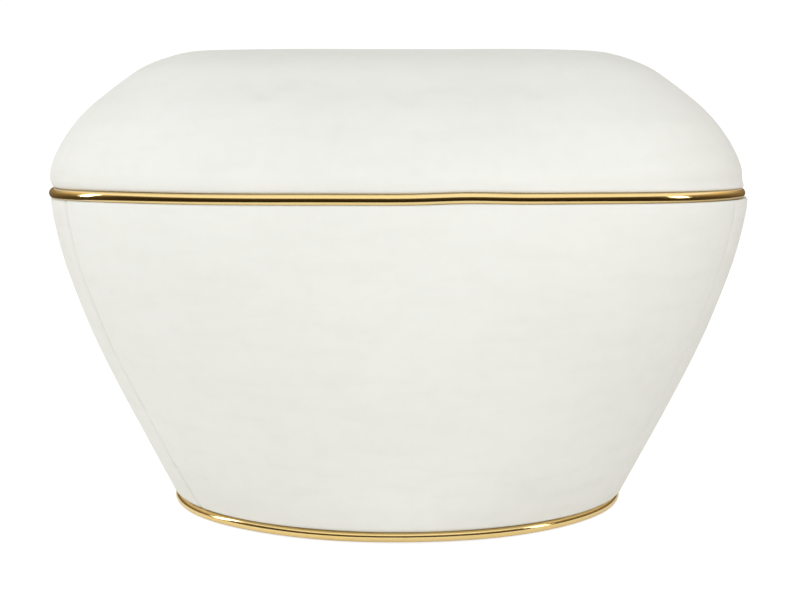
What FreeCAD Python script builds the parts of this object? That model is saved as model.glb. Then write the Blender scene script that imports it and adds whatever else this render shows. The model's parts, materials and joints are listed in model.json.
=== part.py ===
"""Upholstered pouf on a plywood frame, with a brass ring at the seat joint and one at the floor.

Millimetres. +Z is up and the origin is on the floor at the middle of the base. The front faces -Y.
The body tapers from a squared-off top outline to an almost round base. Every layer of the body
and of the seat is the same set of outlines, moved inwards.
"""
import FreeCAD, Part
import math
import os

import Sketcher
from FreeCAD import Placement, Rotation, Vector

SIZES = {
    # Outlines of the body cover, from the floor up: height, half width, side radius, corner radius.
    "z_hem": 12.5, "half_hem": 242.5, "bow_hem": 260.0, "corner_hem": 239.4,
    "z_low": 122.0, "half_low": 292.0, "bow_low": 600.0, "corner_low": 242.5,
    "z_high": 232.0, "half_high": 334.0, "bow_high": 850.0, "corner_high": 227.8,
    "z_rim": 331.0, "half_rim": 352.0, "bow_rim": 1050.0, "corner_rim": 205.4,
    # Outlines of the seat cover, from the ring up.
    "z_foot": 341.8, "half_foot": 349.0, "bow_foot": 1050.0, "corner_foot": 205.0,
    "z_cheek": 385.0, "half_cheek": 334.0, "bow_cheek": 1000.0, "corner_cheek": 185.0,
    "z_shoulder": 430.0, "half_shoulder": 291.0, "bow_shoulder": 950.0, "corner_shoulder": 145.0,
    "z_brow": 462.0, "half_brow": 241.0, "bow_brow": 900.0, "corner_brow": 108.0,
    "z_crown": 470.0, "half_crown": 207.0, "bow_crown": 860.0, "corner_crown": 90.0,
    # Upholstery layers, measured across the outlines, and where their turned-in hems end.
    "leather": 2.0, "fit_gap": 0.3, "side_foam": 15.0, "skin": 3.7, "wadding": 6.0, "ease": 2.0,
    "base_hem_end": 190.0, "rim_hem_end": 292.0, "seat_hem_end": 300.0,
    "seam_angle": 56.0, "firm_foam_top": 400.0,
    # Brass rings, with the pins and tabs brazed to them.
    "tube": 5.0, "bore": 4.0, "base_ring_run": 235.5, "z_base_ring": 7.0,
    "mid_ring_run": 350.0, "z_mid_ring": 336.5, "dowel_radius": 3.75, "dowel_length": 40.0,
    "tab_offset": 120.0, "tab_inner": 304.0, "tab_outer": 342.0, "tab_width": 26.0,
    "tab_thick": 1.0, "tab_hole_run": 312.0, "z_tab": 331.2,
    "pin_count": 8, "pin_radius": 2.0, "pin_inner": 214.0,
    # Plywood frame.
    "plinth_radius": 230.0, "z_plinth": 3.4, "plinth_thick": 7.9, "access_radius": 188.0,
    "hand_hole": 130.0, "board": 18.0, "z_base_board": 14.5, "base_board_half": 221.2,
    "z_hoop": 311.0, "hoop_half": 327.0, "hoop_opening": 240.0,
    "rib_thick": 15.0, "tenon": 34.0, "tenon_gap": 0.1, "base_tenon_run": 182.0,
    "foot_radius": 226.0, "foot_rise": 10.0, "heel": 21.0, "z_swell": 160.0,
    "side_top": 326.0, "side_swell": 284.0, "side_depth": 72.0,
    "corner_top": 370.0, "corner_swell": 305.0, "corner_depth": 80.0,
    # Seat board and its fixings.
    "seat_board_half": 342.2, "z_seat_board": 334.4, "seat_thick": 15.0, "skirt_half": 344.5,
    "bolt_along": 268.0, "bolt_across": 112.0, "bolt_radius": 4.0, "bolt_head": 6.5,
    "bolt_head_thick": 5.3, "bolt_length": 39.0, "bolt_clearance": 0.3,
    "washer_radius": 9.0, "washer_thick": 1.6, "spacer_radius": 14.0,
    "nut_flange": 11.0, "nut_flange_thick": 1.5, "nut_barrel": 5.5, "nut_length": 11.0,
    "vent_radius": 12.0, "vent_run": 150.0, "vent_count": 8,
    # Small fixings at the base and at the tabs.
    "glide_count": 6, "glide_run": 196.0, "glide_radius": 14.0, "glide_chamfer": 1.0,
    "screw_radius": 2.0, "screw_head": 4.0,
    "z_glide_screw": 0.6, "glide_screw_length": 9.4,
    "plinth_screw_run": 158.0, "plinth_screw_length": 24.0,
    "tab_screw_head": 3.0, "tab_screw_length": 17.0,
    # Staples of the three hems.
    "staple_crown": 10.0, "staple_wire": 1.0, "staple_leg": 8.0, "base_staples": 16,
    "base_staple_run": 203.0, "rim_staple_run": 299.0, "seat_staple_run": 316.0,
    "staple_pitch": 56.0,
}

doc = FreeCAD.newDocument("pouf")
sheet = doc.addObject("Spreadsheet::Sheet", "Sizes")
for row, (alias, size) in enumerate(SIZES.items(), start=1):
    sheet.set(f"A{row}", alias)
    sheet.set(f"B{row}", str(size))
    sheet.setAlias(f"B{row}", alias)
doc.recompute()

UP = Vector(0, 0, 1)
SIDES = ("right", "back", "left", "front")
CORNERS = ("back_right", "back_left", "front_left", "front_right")
nodes = []


# ---------------------------------------------------------------- sketches and features
def number(expression):
    """Value of an expression over the sheet's cells."""
    return float(sheet.evalExpression(expression))


def keep(part, label):
    """Name a finished sub-part and list it for export."""
    part.Label = label
    nodes.append(part)


def new_body(label, turn=0):
    body = doc.addObject("PartDesign::Body", f"{label}_body")
    body.Placement = Placement(Vector(), Rotation(UP, turn))
    return body


def origin_item(body, role):
    return next(item for item in body.Origin.OriginFeatures if item.Role == role)


def new_sketch(body, name, role="XY_Plane", height="0", across="0", turn=0):
    """Sketch on an origin plane, moved along its normal and across, and turned about the normal."""
    sketch = body.newObject("Sketcher::SketchObject", name)
    sketch.AttachmentSupport = [(origin_item(body, role), "")]
    sketch.MapMode = "FlatFace"
    sketch.AttachmentOffset = Placement(Vector(), Rotation(UP, turn))
    sketch.setExpression("AttachmentOffset.Base.z", height)
    sketch.setExpression("AttachmentOffset.Base.x", across)
    return sketch


def constrain(sketch, kind, arguments, expression):
    """Add one driving dimension and bind it to the sheet."""
    index = sketch.addConstraint(Sketcher.Constraint(kind, *arguments, number(expression)))
    sketch.renameConstraint(index, f"size{index}")
    sketch.setExpression(f"Constraints.size{index}", expression)


def circle(sketch, radius, across="0", up="0"):
    centre = Vector(number(across), number(up), 0)
    geometry = sketch.addGeometry(Part.Circle(centre, UP, number(radius)))
    constrain(sketch, "Radius", (geometry,), radius)
    constrain(sketch, "DistanceX", (-1, 1, geometry, 3), across)
    constrain(sketch, "DistanceY", (-1, 1, geometry, 3), up)


def polygon(sketch, corners):
    """Closed outline of straight edges through the corners, each a pair of expressions."""
    spots = [Vector(number(across), number(up), 0) for across, up in corners]
    ends = spots[1:] + spots[:1]
    edges = [sketch.addGeometry(Part.LineSegment(a, b)) for a, b in zip(spots, ends)]
    for edge, following in zip(edges, edges[1:] + edges[:1]):
        sketch.addConstraint(Sketcher.Constraint("Coincident", edge, 2, following, 1))
    for edge, (across, up) in zip(edges, corners):
        constrain(sketch, "DistanceX", (-1, 1, edge, 1), across)
        constrain(sketch, "DistanceY", (-1, 1, edge, 1), up)


def rectangle(sketch, left, right, low, high):
    polygon(sketch, [(left, low), (right, low), (right, high), (left, high)])


def outline(body, name, level, height=None, inset="0"):
    """A level's outline of four bowed sides and four round corners, all tangent, moved inwards."""
    sketch = new_sketch(body, name, height=height or f"Sizes.z_{level}")
    half = f"Sizes.half_{level} - ({inset})"
    bow = f"Sizes.bow_{level} - ({inset})"
    corner = f"Sizes.corner_{level} - ({inset})"
    side_radius = number(bow)
    corner_radius = number(corner)
    side_centre = number(half) - side_radius
    reach = side_radius - corner_radius
    corner_centre = (side_centre + math.sqrt(2 * reach ** 2 - side_centre ** 2)) / 2
    spread = math.atan2(corner_centre, corner_centre - side_centre)
    quarter = math.pi / 2
    for side in range(4):
        turned = Rotation(UP, 90 * side)
        middle = side * quarter
        side_circle = Part.Circle(turned.multVec(Vector(side_centre, 0, 0)), UP, side_radius)
        corner_spot = turned.multVec(Vector(corner_centre, corner_centre, 0))
        corner_circle = Part.Circle(corner_spot, UP, corner_radius)
        sketch.addGeometry(Part.ArcOfCircle(side_circle, middle - spread, middle + spread))
        sketch.addGeometry(
            Part.ArcOfCircle(corner_circle, middle + spread, middle + quarter - spread))
    for arc in range(8):
        sketch.addConstraint(Sketcher.Constraint("Tangent", arc, 2, (arc + 1) % 8, 1))
    for arc in range(2, 8):
        sketch.addConstraint(Sketcher.Constraint("Equal", arc % 2, arc))
    for side in range(4):
        sketch.addConstraint(Sketcher.Constraint("PointOnObject", 2 * side, 3, -1 - side % 2))
    constrain(sketch, "Radius", (0,), bow)
    constrain(sketch, "Radius", (1,), corner)
    setback = f"{bow} - ({half})"
    constrain(sketch, "DistanceX", (0, 3, -1, 1), setback)
    constrain(sketch, "DistanceY", (2, 3, -1, 1), setback)
    constrain(sketch, "DistanceX", (-1, 1, 4, 3), setback)
    constrain(sketch, "DistanceY", (-1, 1, 6, 3), setback)
    return sketch


def rim_outline(body, name, half, height):
    """The rim's outline moved in until its half width is the one asked for."""
    return outline(body, name, "rim", height, f"Sizes.half_rim - {half}")


def pad(body, sketch, length, symmetric=False):
    feature = body.newObject("PartDesign::Pad", f"{sketch.Name}_pad")
    feature.Profile = sketch
    feature.setExpression("Length", length)
    if symmetric:
        feature.SideType = "Symmetric"
    return feature


def pocket(body, sketch, length):
    """Cut along the sketch's normal."""
    feature = body.newObject("PartDesign::Pocket", f"{sketch.Name}_pocket")
    feature.Profile = sketch
    feature.setExpression("Length", length)
    feature.Reversed = True
    return feature


def spin(body, sketch, kind="PartDesign::Revolution"):
    """Turn a profile about its sketch's upright axis, to add (Revolution) or cut (Groove)."""
    feature = body.newObject(kind, f"{sketch.Name}_spin")
    feature.Profile = sketch
    feature.ReferenceAxis = (sketch, ["V_Axis"])
    feature.Angle = 360
    return feature


def turn_round(body, feature, count):
    """Repeat one feature evenly about the body's upright axis."""
    doc.recompute()
    pattern = body.newObject("PartDesign::PolarPattern", f"{feature.Name}_pattern")
    pattern.Originals = [feature]
    pattern.Axis = (origin_item(body, "Z_Axis"), [""])
    pattern.Angle = 360
    pattern.setExpression("Occurrences", count)
    body.Tip = pattern
    doc.recompute()


def loft(body, sketches, kind="PartDesign::AdditiveLoft"):
    feature = body.newObject(kind, f"{sketches[0].Name}_loft")
    feature.Profile = sketches[0]
    feature.Sections = sketches[1:]


def hollow_loft(body, sketches):
    loft(body, sketches, "PartDesign::SubtractiveLoft")


def boolean(kind, base, tool, label):
    part = doc.addObject(kind, f"{label}_boolean")
    part.Base = base
    part.Tool = tool
    return part


# ---------------------------------------------------------------- staples, screws and their holes
ALONG_SIDE = {"rim": (-2, -1, 1, 2), "seat": (-3, -1, 1, 3)}


def staple_slots(body, hem, height, depth, flip=1):
    """Cut the two leg slots of each of a hem's staples."""
    steps = ALONG_SIDE.get(hem, (0,))
    sketch = new_sketch(body, f"{hem}_staple_legs_{len(body.Group)}", height=height)
    line = f"Sizes.{hem}_staple_run"
    thin = "Sizes.staple_wire / 2"
    for step in steps:
        for end in (-1, 1):
            leg = f"{step} * Sizes.staple_pitch + {end} * (Sizes.staple_crown / 2 - {thin})"
            rectangle(sketch, f"{line} - {thin}", f"{line} + {thin}",
                      f"{leg} - {thin}", f"{leg} + {thin}")
    cut = pocket(body, sketch, depth)
    turn_round(body, cut, "4" if hem in ALONG_SIDE else "Sizes.base_staples")


def make_staples(hem, face, direction):
    """Wire staples lying on a hem's face; the legs point along the direction, up or down."""
    body = new_body(f"{hem}_staples")
    sketch = new_sketch(body, f"{hem}_staple", "YZ_Plane", f"Sizes.{hem}_staple_run")
    half = "Sizes.staple_crown / 2"
    crown = f"{face} - ({direction}) * Sizes.staple_wire"
    tip = f"{face} + ({direction}) * Sizes.staple_leg"
    for step in ALONG_SIDE.get(hem, (0,)):
        middle = f"{step} * Sizes.staple_pitch"
        polygon(sketch, [
            (f"{middle} - {half}", crown), (f"{middle} + {half}", crown),
            (f"{middle} + {half}", tip), (f"{middle} + {half} - Sizes.staple_wire", tip),
            (f"{middle} + {half} - Sizes.staple_wire", face),
            (f"{middle} - {half} + Sizes.staple_wire", face),
            (f"{middle} - {half} + Sizes.staple_wire", tip), (f"{middle} - {half}", tip)])
    row = pad(body, sketch, "Sizes.staple_wire", symmetric=True)
    turn_round(body, row, "4" if hem in ALONG_SIDE else "Sizes.base_staples")
    keep(body, f"{hem}_hem_staples")


def screw_profile(sketch, low, length, head="Sizes.screw_head"):
    """Half of a countersunk screw that points up from its head's face."""
    taper = f"{head} - Sizes.screw_radius"
    polygon(sketch, [
        ("0", low), (head, low), ("Sizes.screw_radius", f"{low} + {taper}"),
        ("Sizes.screw_radius", f"{low} + {length} - 3"), ("0.4", f"{low} + {length}"),
        ("0", f"{low} + {length}")])


def straight_holes(body, name, radius, run, count, height, depth):
    sketch = new_sketch(body, f"{name}_hole", height=height)
    circle(sketch, radius, run)
    turn_round(body, pocket(body, sketch, depth), count)


def paired_holes(body, name, radius, run, offset, height, depth):
    """Two upright holes beside each side, either way from its middle."""
    sketch = new_sketch(body, f"{name}_holes", height=height)
    circle(sketch, radius, run, offset)
    circle(sketch, radius, run, f"-{offset}")
    turn_round(body, pocket(body, sketch, depth), "4")


def bolt_holes(body, name, radius, height, depth):
    sketch = new_sketch(body, f"{name}_hole", height=height)
    circle(sketch, radius, "Sizes.bolt_along", "Sizes.bolt_across")
    turn_round(body, pocket(body, sketch, depth), "4")


def bolt_sketch(body, name):
    """Upright sketch whose own origin stands on a seat bolt's axis."""
    return new_sketch(body, name, "XZ_Plane", "-Sizes.bolt_across", "Sizes.bolt_along")


# ---------------------------------------------------------------- layers of the body
BODY_LEVELS = ("hem", "low", "high", "rim")
PAST_LEATHER = "Sizes.leather + Sizes.fit_gap"
PAST_FOAM = f"{PAST_LEATHER} + Sizes.side_foam"
TO_SKIN = f"{PAST_FOAM} + Sizes.fit_gap"
PAST_SKIN = f"{TO_SKIN} + Sizes.skin"


def body_levels(body, prefix, inset, trim):
    """Outlines of one face of a body layer, with both ends trimmed."""
    heights = {"hem": f"Sizes.z_hem + {trim}", "rim": f"Sizes.z_rim - ({trim})"}
    return [outline(body, f"{prefix}_{level}", level, heights.get(level), inset)
            for level in BODY_LEVELS]


def side_panels(shell, layer):
    """Cut a band into four panels whose seams stand just behind the front and back corners."""
    for index, side in enumerate(SIDES):
        spread = "2 * Sizes.seam_angle"
        if side in ("right", "left"):
            spread = f"180 - {spread}"
        sector = doc.addObject("Part::Cylinder", f"{layer}_{side}_sector")
        sector.setExpression("Radius", "Sizes.half_rim * 1.5")
        sector.setExpression("Height", "Sizes.z_mid_ring")
        sector.setExpression("Angle", spread)
        sector.Placement = Placement(Vector(), Rotation(UP, 90 * index - number(spread) / 2))
        keep(boolean("Part::Common", shell, sector, f"{layer}_{side}"), f"{layer}_{side}")


def make_layer(layer, outer, inner):
    """Plain band between two insets of the body's outlines."""
    body = new_body(layer)
    loft(body, body_levels(body, f"{layer}_outer", outer, "Sizes.leather"))
    hollow_loft(body, body_levels(body, f"{layer}_inner", inner, "Sizes.leather"))
    side_panels(body, layer)


def make_covers():
    """Leather band with one hem turned in under the base and one turned in over the rim."""
    body = new_body("cover")
    loft(body, body_levels(body, "cover_outer", "0", "0"))
    hollow_loft(body, body_levels(body, "cover_inner", "Sizes.leather", "Sizes.leather"))
    mouth = new_sketch(body, "cover_base_mouth", height="Sizes.z_hem")
    circle(mouth, "Sizes.base_hem_end")
    pocket(body, mouth, "Sizes.leather")
    hem_top = "Sizes.z_rim - Sizes.leather"
    pocket(body, rim_outline(body, "cover_rim_mouth", "Sizes.rim_hem_end", hem_top),
           "Sizes.leather")
    staple_slots(body, "base", "Sizes.z_hem", "Sizes.leather")
    staple_slots(body, "rim", hem_top, "Sizes.leather")
    paired_holes(body, "cover_tab", "Sizes.screw_radius", "Sizes.tab_hole_run",
                 "Sizes.tab_offset", hem_top, "Sizes.leather")
    side_panels(body, "cover")


# ---------------------------------------------------------------- plywood frame
TENON_RUN = {
    "side": "(Sizes.side_top - Sizes.side_depth / 2)",
    "corner": "(Sizes.corner_top - Sizes.corner_depth / 2)",
}


def cut_mortises(body, name, height, runs):
    """Slots through a board for the eight rib tenons."""
    half_width = "(Sizes.rib_thick / 2 + Sizes.tenon_gap)"
    half_length = "(Sizes.tenon / 2 + Sizes.tenon_gap)"
    for kind, turn in (("side", 0), ("corner", 45)):
        sketch = new_sketch(body, f"{name}_{kind}_mortise", height=height, turn=turn)
        rectangle(sketch, f"{runs[kind]} - {half_length}", f"{runs[kind]} + {half_length}",
                  f"-{half_width}", half_width)
        turn_round(body, pocket(body, sketch, "Sizes.board"), "4")


def make_base_board():
    """Board under the ribs, with a round opening that gives a hand access to the seat bolts."""
    low = "Sizes.z_base_board"
    body = new_body("base_board")
    edge = outline(body, "base_board_edge", "hem", low, "Sizes.half_hem - Sizes.base_board_half")
    pad(body, edge, "Sizes.board")
    opening = new_sketch(body, "hand_hole", height=low)
    circle(opening, "Sizes.hand_hole")
    pocket(body, opening, "Sizes.board")
    cut_mortises(body, "base", low, dict.fromkeys(TENON_RUN, "Sizes.base_tenon_run"))
    straight_holes(body, "base_board_screw", "Sizes.screw_radius", "Sizes.plinth_screw_run",
                   "Sizes.glide_count", low, "Sizes.board")
    staple_slots(body, "base", low, "Sizes.staple_leg - Sizes.leather")
    keep(body, "base_board")


def make_top_hoop():
    """Board that joins the rib heads; the seat is bolted to it."""
    low = "Sizes.z_hoop"
    top = f"{low} + Sizes.board"
    body = new_body("top_hoop")
    pad(body, rim_outline(body, "hoop_edge", "Sizes.hoop_half", low), "Sizes.board")
    pocket(body, rim_outline(body, "hoop_mouth", "Sizes.hoop_opening", low), "Sizes.board")
    cut_mortises(body, "hoop", low, TENON_RUN)
    bolt_holes(body, "hoop_bolt", "Sizes.bolt_radius + Sizes.bolt_clearance", low, "Sizes.board")
    screw_depth = "(Sizes.tab_screw_length - Sizes.tab_thick - Sizes.leather)"
    paired_holes(body, "hoop_tab", "Sizes.screw_radius", "Sizes.tab_hole_run",
                 "Sizes.tab_offset", f"{top} - {screw_depth}", screw_depth)
    depth = "(Sizes.staple_leg - Sizes.leather)"
    staple_slots(body, "rim", f"{top} - {depth}", depth)
    keep(body, "top_hoop")


def make_rib(kind, label, turn):
    """Upright rib with a tenon at each end; its outer edge swells with the body."""
    body = new_body(label, turn)
    floor = "Sizes.z_base_board + Sizes.board"
    ceiling = "Sizes.z_hoop"
    foot = ("Sizes.base_tenon_run - Sizes.tenon / 2", "Sizes.base_tenon_run + Sizes.tenon / 2")
    head = (f"{TENON_RUN[kind]} - Sizes.tenon / 2", f"{TENON_RUN[kind]} + Sizes.tenon / 2")
    sketch = new_sketch(body, f"{label}_side", "XZ_Plane")
    polygon(sketch, [
        ("Sizes.foot_radius - Sizes.foot_rise", floor),
        ("Sizes.foot_radius", f"{floor} + Sizes.foot_rise"),
        (f"Sizes.{kind}_swell", "Sizes.z_swell"), (f"Sizes.{kind}_top", ceiling),
        (head[1], ceiling), (head[1], f"{ceiling} + Sizes.board"),
        (head[0], f"{ceiling} + Sizes.board"), (head[0], ceiling),
        (f"Sizes.{kind}_top - Sizes.{kind}_depth", ceiling),
        ("Sizes.base_tenon_run - Sizes.heel", floor),
        (foot[0], floor), (foot[0], "Sizes.z_base_board"),
        (foot[1], "Sizes.z_base_board"), (foot[1], floor)])
    pad(body, sketch, "Sizes.rib_thick", symmetric=True)
    keep(body, label)


# ---------------------------------------------------------------- base: plinth, glides, brass ring
def make_plinth():
    """Round board inside the base ring, drilled for its pins, its screws and the glides."""
    body = new_body("plinth_disc")
    disc = new_sketch(body, "plinth_edge", height="Sizes.z_plinth")
    circle(disc, "Sizes.plinth_radius")
    pad(body, disc, "Sizes.plinth_thick")
    straight_holes(body, "plinth_glide", "Sizes.screw_radius", "Sizes.glide_run",
                   "Sizes.glide_count", "Sizes.z_plinth",
                   "Sizes.z_glide_screw + Sizes.glide_screw_length - Sizes.z_plinth")
    straight_holes(body, "plinth_screw", "Sizes.screw_radius", "Sizes.plinth_screw_run",
                   "Sizes.glide_count", "Sizes.z_plinth", "Sizes.plinth_thick")
    sink = new_sketch(body, "plinth_sink", "XZ_Plane", across="Sizes.plinth_screw_run")
    polygon(sink, [("0", "Sizes.z_plinth"), ("Sizes.screw_head", "Sizes.z_plinth"),
                   ("0", "Sizes.z_plinth + Sizes.screw_head")])
    turn_round(body, spin(body, sink, "PartDesign::Groove"), "Sizes.glide_count")
    pin = new_sketch(body, "pin_seat", "YZ_Plane", "Sizes.pin_inner")
    circle(pin, "Sizes.pin_radius", "0", "Sizes.z_base_ring")
    turn_round(body, pocket(body, pin, "Sizes.plinth_radius - Sizes.pin_inner + 1"),
               "Sizes.pin_count")
    keep(body, "plinth_disc")


def make_access_disc():
    """Hardboard disc that closes the base board's hand opening."""
    low = "Sizes.z_plinth + Sizes.plinth_thick"
    thick = f"Sizes.z_base_board - ({low})"
    body = new_body("access_disc")
    disc = new_sketch(body, "access_edge", height=low)
    circle(disc, "Sizes.access_radius")
    pad(body, disc, thick)
    straight_holes(body, "access_screw", "Sizes.screw_radius", "Sizes.plinth_screw_run",
                   "Sizes.glide_count", low, thick)
    keep(body, "access_disc")


def make_base_screws():
    """Screws of the glides, and the longer ones that hold the plinth to the base board."""
    for label, run, low, length in (
            ("glide_screws", "Sizes.glide_run", "Sizes.z_glide_screw",
             "Sizes.glide_screw_length"),
            ("plinth_screws", "Sizes.plinth_screw_run", "Sizes.z_plinth",
             "Sizes.plinth_screw_length")):
        body = new_body(label)
        sketch = new_sketch(body, f"{label}_half", "XZ_Plane", across=run)
        screw_profile(sketch, low, length)
        turn_round(body, spin(body, sketch), "Sizes.glide_count")
        keep(body, label)


def make_glides():
    """Round nylon glides, countersunk for their screws."""
    body = new_body("glides")
    sketch = new_sketch(body, "glide_half", "XZ_Plane", across="Sizes.glide_run")
    sink_top = "Sizes.z_glide_screw + Sizes.screw_head - Sizes.screw_radius"
    polygon(sketch, [
        ("Sizes.screw_radius", "Sizes.z_plinth"), ("Sizes.screw_radius", sink_top),
        ("Sizes.screw_head", "Sizes.z_glide_screw"), ("Sizes.screw_head", "0"),
        ("Sizes.glide_radius - Sizes.glide_chamfer", "0"),
        ("Sizes.glide_radius", "Sizes.glide_chamfer"), ("Sizes.glide_radius", "Sizes.z_plinth")])
    turn_round(body, spin(body, sketch), "Sizes.glide_count")
    keep(body, "glides")


def make_base_ring():
    """Brass tube bent to a circle, and the pins brazed to its inner side."""
    tori = []
    for name, radius in (("base_ring_bar", "Sizes.tube"), ("base_ring_bore", "Sizes.bore")):
        torus = doc.addObject("Part::Torus", name)
        torus.setExpression("Radius1", "Sizes.base_ring_run")
        torus.setExpression("Radius2", radius)
        torus.setExpression("Placement.Base.z", "Sizes.z_base_ring")
        tori.append(torus)
    keep(boolean("Part::Cut", tori[0], tori[1], "base_ring"), "base_ring")
    body = new_body("base_ring_pins")
    sketch = new_sketch(body, "pin_end", "YZ_Plane", "Sizes.pin_inner")
    circle(sketch, "Sizes.pin_radius", "0", "Sizes.z_base_ring")
    pin = pad(body, sketch, "Sizes.base_ring_run - Sizes.pin_inner")
    turn_round(body, pin, "Sizes.pin_count")
    keep(boolean("Part::Cut", body, tori[0], "base_ring_pins"), "base_ring_pins")


# ---------------------------------------------------------------- brass ring at the seat joint
def ring_sweep(name, radius):
    """Round bar along the ring's run between the body and the seat."""
    body = new_body(name)
    spine = rim_outline(body, f"{name}_run", "Sizes.mid_ring_run", "Sizes.z_mid_ring")
    section = new_sketch(body, f"{name}_section", "XZ_Plane")
    circle(section, radius, "Sizes.mid_ring_run", "Sizes.z_mid_ring")
    sweep = body.newObject("PartDesign::AdditivePipe", f"{name}_sweep")
    sweep.Profile = section
    sweep.Spine = spine
    return body


def make_mid_ring():
    """Brass tube with a dowel inside its joint at the back, and the tabs brazed under it."""
    bar = ring_sweep("mid_ring_bar", "Sizes.tube")
    bore = ring_sweep("mid_ring_bore", "Sizes.bore")
    keep(boolean("Part::Cut", bar, bore, "mid_ring"), "mid_ring")
    dowel = doc.addObject("Part::Cylinder", "dowel")
    dowel.setExpression("Radius", "Sizes.dowel_radius")
    dowel.setExpression("Height", "Sizes.dowel_length")
    middle = Vector(-number("Sizes.dowel_length") / 2, number("Sizes.mid_ring_run"),
                    number("Sizes.z_mid_ring"))
    dowel.Placement = Placement(middle, Rotation(Vector(0, 1, 0), 90))
    keep(dowel, "mid_ring_dowel")
    body = new_body("mid_ring_tabs")
    sketch = new_sketch(body, "tab_pair", height="Sizes.z_tab")
    for end in ("", "-"):
        middle = f"{end}Sizes.tab_offset"
        rectangle(sketch, "Sizes.tab_inner", "Sizes.tab_outer",
                  f"{middle} - Sizes.tab_width / 2", f"{middle} + Sizes.tab_width / 2")
    turn_round(body, pad(body, sketch, "Sizes.tab_thick"), "4")
    drill = new_sketch(body, "tab_hole_half", "XZ_Plane", "-Sizes.tab_offset",
                       "Sizes.tab_hole_run")
    mirror = new_sketch(body, "tab_hole_half_two", "XZ_Plane", "Sizes.tab_offset",
                        "Sizes.tab_hole_run")
    for half in (drill, mirror):
        tab_hole_profile(half)
        turn_round(body, spin(body, half, "PartDesign::Groove"), "4")
    keep(boolean("Part::Cut", body, bar, "mid_ring_tabs"), "mid_ring_tabs")


def tab_hole_profile(sketch):
    """Half of a tab's countersunk hole."""
    top = "Sizes.z_tab + Sizes.tab_thick"
    polygon(sketch, [
        ("0", "Sizes.z_tab"), ("Sizes.screw_radius", "Sizes.z_tab"),
        ("Sizes.tab_screw_head", top), ("0", top)])


def make_tab_screws():
    body = new_body("tab_screws")
    top = "Sizes.z_tab + Sizes.tab_thick"
    taper = "(Sizes.tab_screw_head - Sizes.screw_radius)"
    offsets = {"tab_screw": "-Sizes.tab_offset", "tab_screw_two": "Sizes.tab_offset"}
    for name, offset in offsets.items():
        sketch = new_sketch(body, name, "XZ_Plane", offset, "Sizes.tab_hole_run")
        tip = f"{top} - Sizes.tab_screw_length"
        polygon(sketch, [
            ("0", tip), ("0.4", tip), ("Sizes.screw_radius", f"{tip} + 3"),
            ("Sizes.screw_radius", f"{top} - {taper}"), ("Sizes.tab_screw_head", top),
            ("0", top)])
        turn_round(body, spin(body, sketch), "4")
    keep(body, "tab_screws")


# ---------------------------------------------------------------- seat
SEAT_LEVELS = ("foot", "cheek", "shoulder", "brow", "crown")
SEAT_BOARD_TOP = "Sizes.z_seat_board + Sizes.seat_thick"


def seat_levels(body, prefix, inset, floor, ceiling, ease="0"):
    """Outlines of one face of a seat layer between two heights, eased in at the foot."""
    heights = {"foot": floor, "crown": ceiling}
    insets = {"foot": f"{inset} + {ease}"}
    return [outline(body, f"{prefix}_{level}", level, heights.get(level),
                    insets.get(level, inset))
            for level in SEAT_LEVELS]


def make_seat_board():
    low = "Sizes.z_seat_board"
    body = new_body("seat_board")
    pad(body, rim_outline(body, "seat_board_edge", "Sizes.seat_board_half", low),
        "Sizes.seat_thick")
    bolt_holes(body, "seat_nut", "Sizes.nut_barrel", low, "Sizes.seat_thick")
    bolt_holes(body, "seat_nut_flange", "Sizes.nut_flange",
               f"{SEAT_BOARD_TOP} - Sizes.nut_flange_thick", "Sizes.nut_flange_thick")
    straight_holes(body, "seat_vent", "Sizes.vent_radius", "Sizes.vent_run",
                   "Sizes.vent_count", low, "Sizes.seat_thick")
    staple_slots(body, "seat", low, "Sizes.staple_leg - Sizes.leather")
    keep(body, "seat_board")


def make_seat_fixings():
    """Bolt, washer, spacer and T-nut at each of the four seat bolts."""
    hoop_top = "Sizes.z_hoop + Sizes.board"
    washer_low = "Sizes.z_hoop - Sizes.washer_thick"
    head_low = f"{washer_low} - Sizes.bolt_head_thick"
    hole = "Sizes.bolt_radius + Sizes.bolt_clearance"
    barrel_low = f"{SEAT_BOARD_TOP} - Sizes.nut_length"
    flange_low = f"{SEAT_BOARD_TOP} - Sizes.nut_flange_thick"
    profiles = {
        "seat_bolts": [
            ("0", head_low), ("Sizes.bolt_head", head_low), ("Sizes.bolt_head", washer_low),
            ("Sizes.bolt_radius", washer_low),
            ("Sizes.bolt_radius", f"{washer_low} + Sizes.bolt_length"),
            ("0", f"{washer_low} + Sizes.bolt_length")],
        "bolt_washers": [
            (hole, washer_low), ("Sizes.washer_radius", washer_low),
            ("Sizes.washer_radius", "Sizes.z_hoop"), (hole, "Sizes.z_hoop")],
        "seat_spacers": [
            (hole, hoop_top), ("Sizes.spacer_radius", hoop_top),
            ("Sizes.spacer_radius", "Sizes.z_seat_board"), (hole, "Sizes.z_seat_board")],
        "seat_nuts": [
            ("Sizes.bolt_radius", barrel_low), ("Sizes.nut_barrel", barrel_low),
            ("Sizes.nut_barrel", flange_low), ("Sizes.nut_flange", flange_low),
            ("Sizes.nut_flange", SEAT_BOARD_TOP), ("Sizes.bolt_radius", SEAT_BOARD_TOP)],
    }
    for label, corners in profiles.items():
        body = new_body(label)
        sketch = bolt_sketch(body, f"{label}_half")
        polygon(sketch, corners)
        turn_round(body, spin(body, sketch), "4")
        keep(body, label)


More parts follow.
